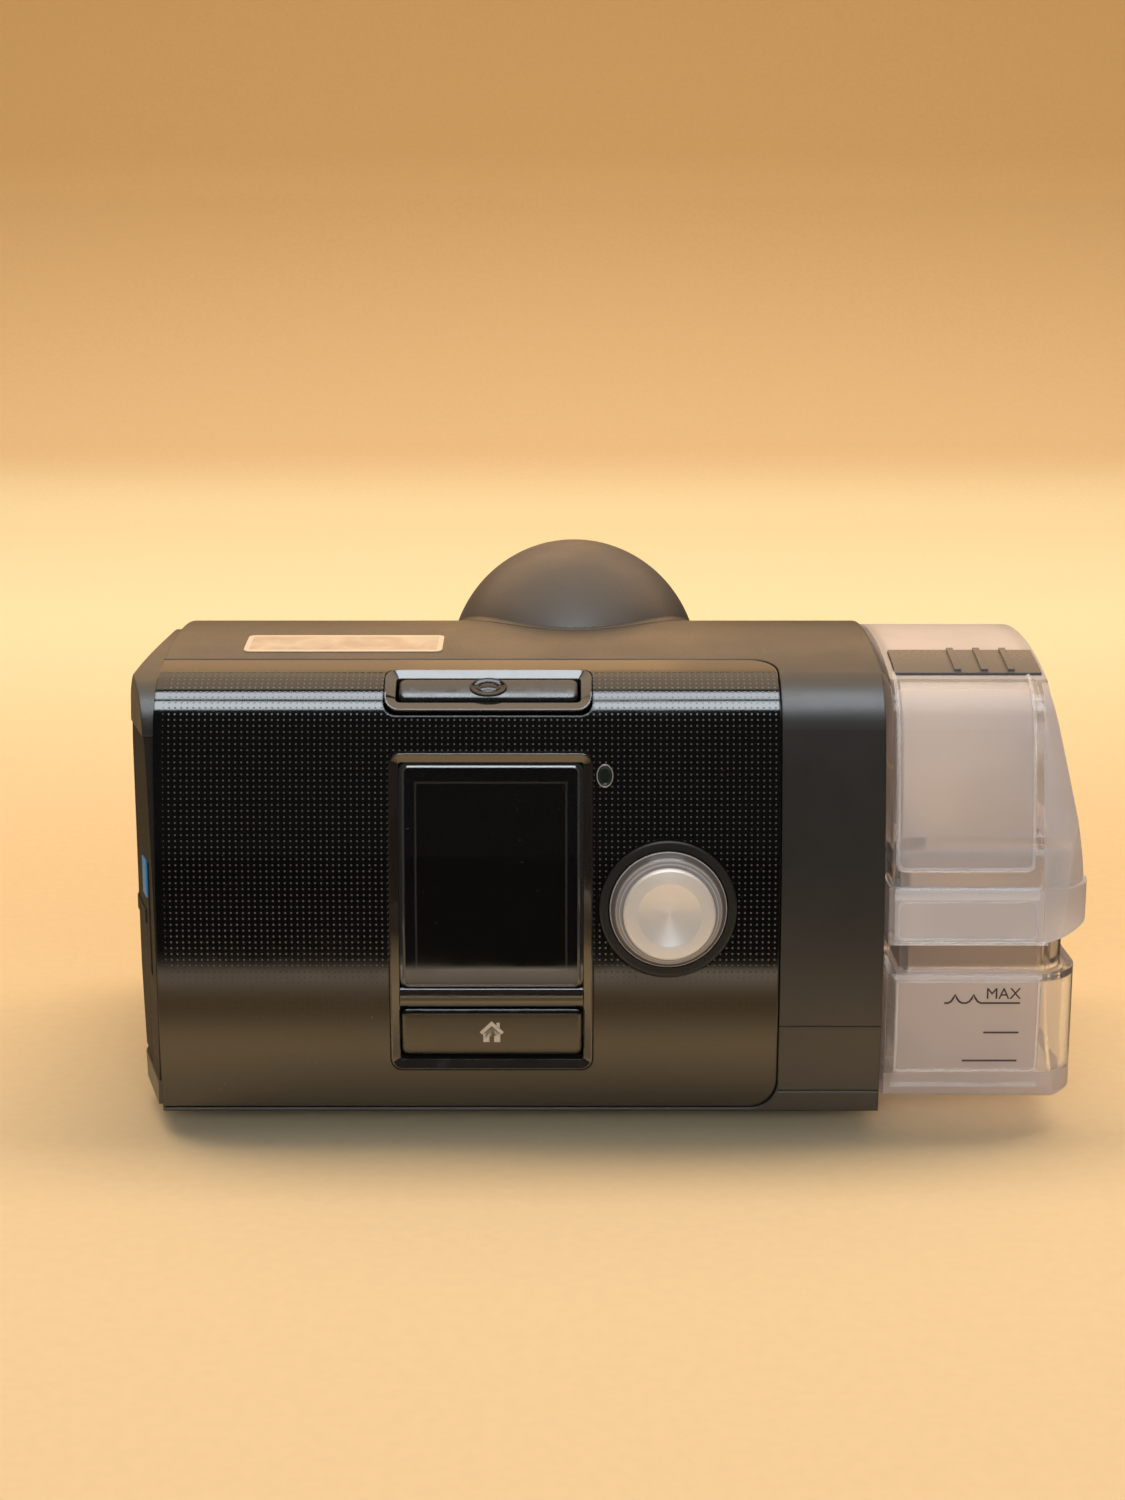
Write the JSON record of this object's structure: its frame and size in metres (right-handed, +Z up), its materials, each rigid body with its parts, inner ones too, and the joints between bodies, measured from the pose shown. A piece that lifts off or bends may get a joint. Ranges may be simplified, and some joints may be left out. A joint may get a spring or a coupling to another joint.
{
  "type": "cpap machine",
  "caption": "Bedside CPAP machine with gloss front panel, screen, press-and-turn dial, buttons and a clear heated-humidifier tub that docks in its right side.",
  "frame": {"origin": "centre of the bounding box footprint, on the surface it stands on", "axes": "+X to the right seen from the front (tub side), +Y to the back (air outlet), +Z up"},
  "size_m": [0.2049, 0.15, 0.116],
  "materials": {
    "charcoal_case": "fine matte texture",
    "gloss_black": "high gloss with a fine dot texture",
    "black_trim": "satin gloss",
    "black_plastic": "matte",
    "panel_plastic": "coarse spark texture",
    "blue_plastic": "satin",
    "rubber_black": "matte",
    "silver_metal": "spun",
    "steel": "brushed",
    "smoke_clear": "translucent, smooth",
    "display_glass": "clear",
    "lcd_black": "dark display",
    "sensor_glass": "clear",
    "clear_plastic": "clear with frosted panels",
    "grip_grey": "satin translucent",
    "silicone_grey": "soft",
    "mark_print": "printed",
    "label_paper": "printed sticker film",
    "board_green": "solder mask",
    "foam_grey": "open-cell foam",
    "filter_white": "pleated fibre",
    "white_plastic": "moulded",
    "fan_plastic": "moulded"
  },
  "bodies": {
    "housing": {"top_housing": "charcoal_case", "outlet_hood": "charcoal_case", "bay_frame": "charcoal_case", "front_fascia": "gloss_black", "badge_plate": "charcoal_case", "top_label": "label_paper", "bottom_cover": "black_plastic", "rubber_feet": "rubber_black", "case_screws": "steel", "side_pod": "charcoal_case", "side_panel": "panel_plastic", "slot_marker": "blue_plastic", "adapter_pin": "steel", "adapter_port": "black_plastic", "sd_socket": "steel", "screen_bezel": "black_trim", "screen_window": "display_glass", "lcd_panel": "lcd_black", "start_button_frame": "black_trim", "button_switches": "black_plastic", "sensor_lens": "sensor_glass", "dial_ring": "black_trim", "encoder_body": "black_plastic", "main_board": "board_green", "power_board": "board_green", "power_inlet": "black_plastic", "blower_lower": "white_plastic", "blower_upper": "white_plastic", "blower_motor": "steel", "blower_mounts": "silicone_grey", "intake_muffler": "foam_grey", "inlet_duct": "silicone_grey", "outlet_duct": "silicone_grey", "outlet_port": "black_plastic", "outlet_contacts": "black_plastic", "air_filter": "filter_white", "bay_liner": "black_plastic", "heater_plate": "silver_metal", "bay_seals": "silicone_grey"},
    "start_button": {"start_button": "black_trim", "start_lens": "sensor_glass"},
    "home_button": {"home_button": "black_trim"},
    "dial_plunger": {"dial_plunger": "black_plastic"},
    "dial": {"dial_shaft": "steel", "dial_skirt": "smoke_clear", "dial_cap": "silver_metal"},
    "sd_card": {"sd_card": "black_trim"},
    "adapter_cover": {"adapter_cover": "panel_plastic"},
    "filter_cover": {"filter_cover": "charcoal_case", "filter_pin": "steel"},
    "retention_clip": {"retention_clip": "black_plastic"},
    "tub": {"tub_base": "clear_plastic", "tub_heat_plate": "silver_metal", "tub_seal": "silicone_grey", "tub_hinge_pin": "steel", "level_marks": "mark_print"},
    "tub_lid": {"tub_lid": "clear_plastic", "tub_grip": "grip_grey"},
    "impeller": {"impeller": "fan_plastic", "motor_shaft": "steel"}
  },
  "joints": [
    {"name": "start_button_press", "type": "slide", "parent": "housing", "child": "start_button", "axis": [0, 0.6101, -0.7923], "range_m": [0, 0.0006], "stiffness_N_per_m": 600},
    {"name": "home_button_press", "type": "slide", "parent": "housing", "child": "home_button", "axis": [0, 0.9991, 0.0434], "range_m": [0, 0.0006], "stiffness_N_per_m": 600},
    {"name": "dial_press", "type": "slide", "parent": "housing", "child": "dial_plunger", "axis": [0, 0.9975, -0.07], "range_m": [0, 0.0008], "stiffness_N_per_m": 800},
    {"name": "dial_turn", "type": "hinge", "parent": "dial_plunger", "child": "dial", "pos_m": [0.0136, -0.06742, 0.04965], "axis": [0, -0.9975, 0.07], "continuous": true},
    {"name": "sd_card_slide", "type": "slide", "parent": "housing", "child": "sd_card", "axis": [-1, 0, 0], "range_m": [0, 0.034]},
    {"name": "adapter_cover_hinge", "type": "hinge", "parent": "housing", "child": "adapter_cover", "pos_m": [-0.09896, -0.03, 0.0131], "axis": [0, -1, 0], "range_deg": [0, 95]},
    {"name": "filter_cover_hinge", "type": "hinge", "parent": "housing", "child": "filter_cover", "pos_m": [-0.0855, 0.0456, 0.039], "axis": [0, 0, 1], "range_deg": [0, 110]},
    {"name": "retention_clip_hinge", "type": "hinge", "parent": "housing", "child": "retention_clip", "pos_m": [-0.0106, 0.0462, 0.022], "axis": [0, 0, 1], "range_deg": [0, 170]},
    {"name": "tub_slide", "type": "slide", "parent": "housing", "child": "tub", "axis": [1, 0, 0], "range_m": [0, 0.075]},
    {"name": "tub_lid_hinge", "type": "hinge", "parent": "tub", "child": "tub_lid", "pos_m": [0.08, 0.0336, 0.066], "axis": [-1, 0, 0], "range_deg": [0, 100]},
    {"name": "impeller_spin", "type": "hinge", "parent": "housing", "child": "impeller", "pos_m": [-0.057, -0.012, 0.04], "axis": [0, 0, 1], "continuous": true}
  ]
}
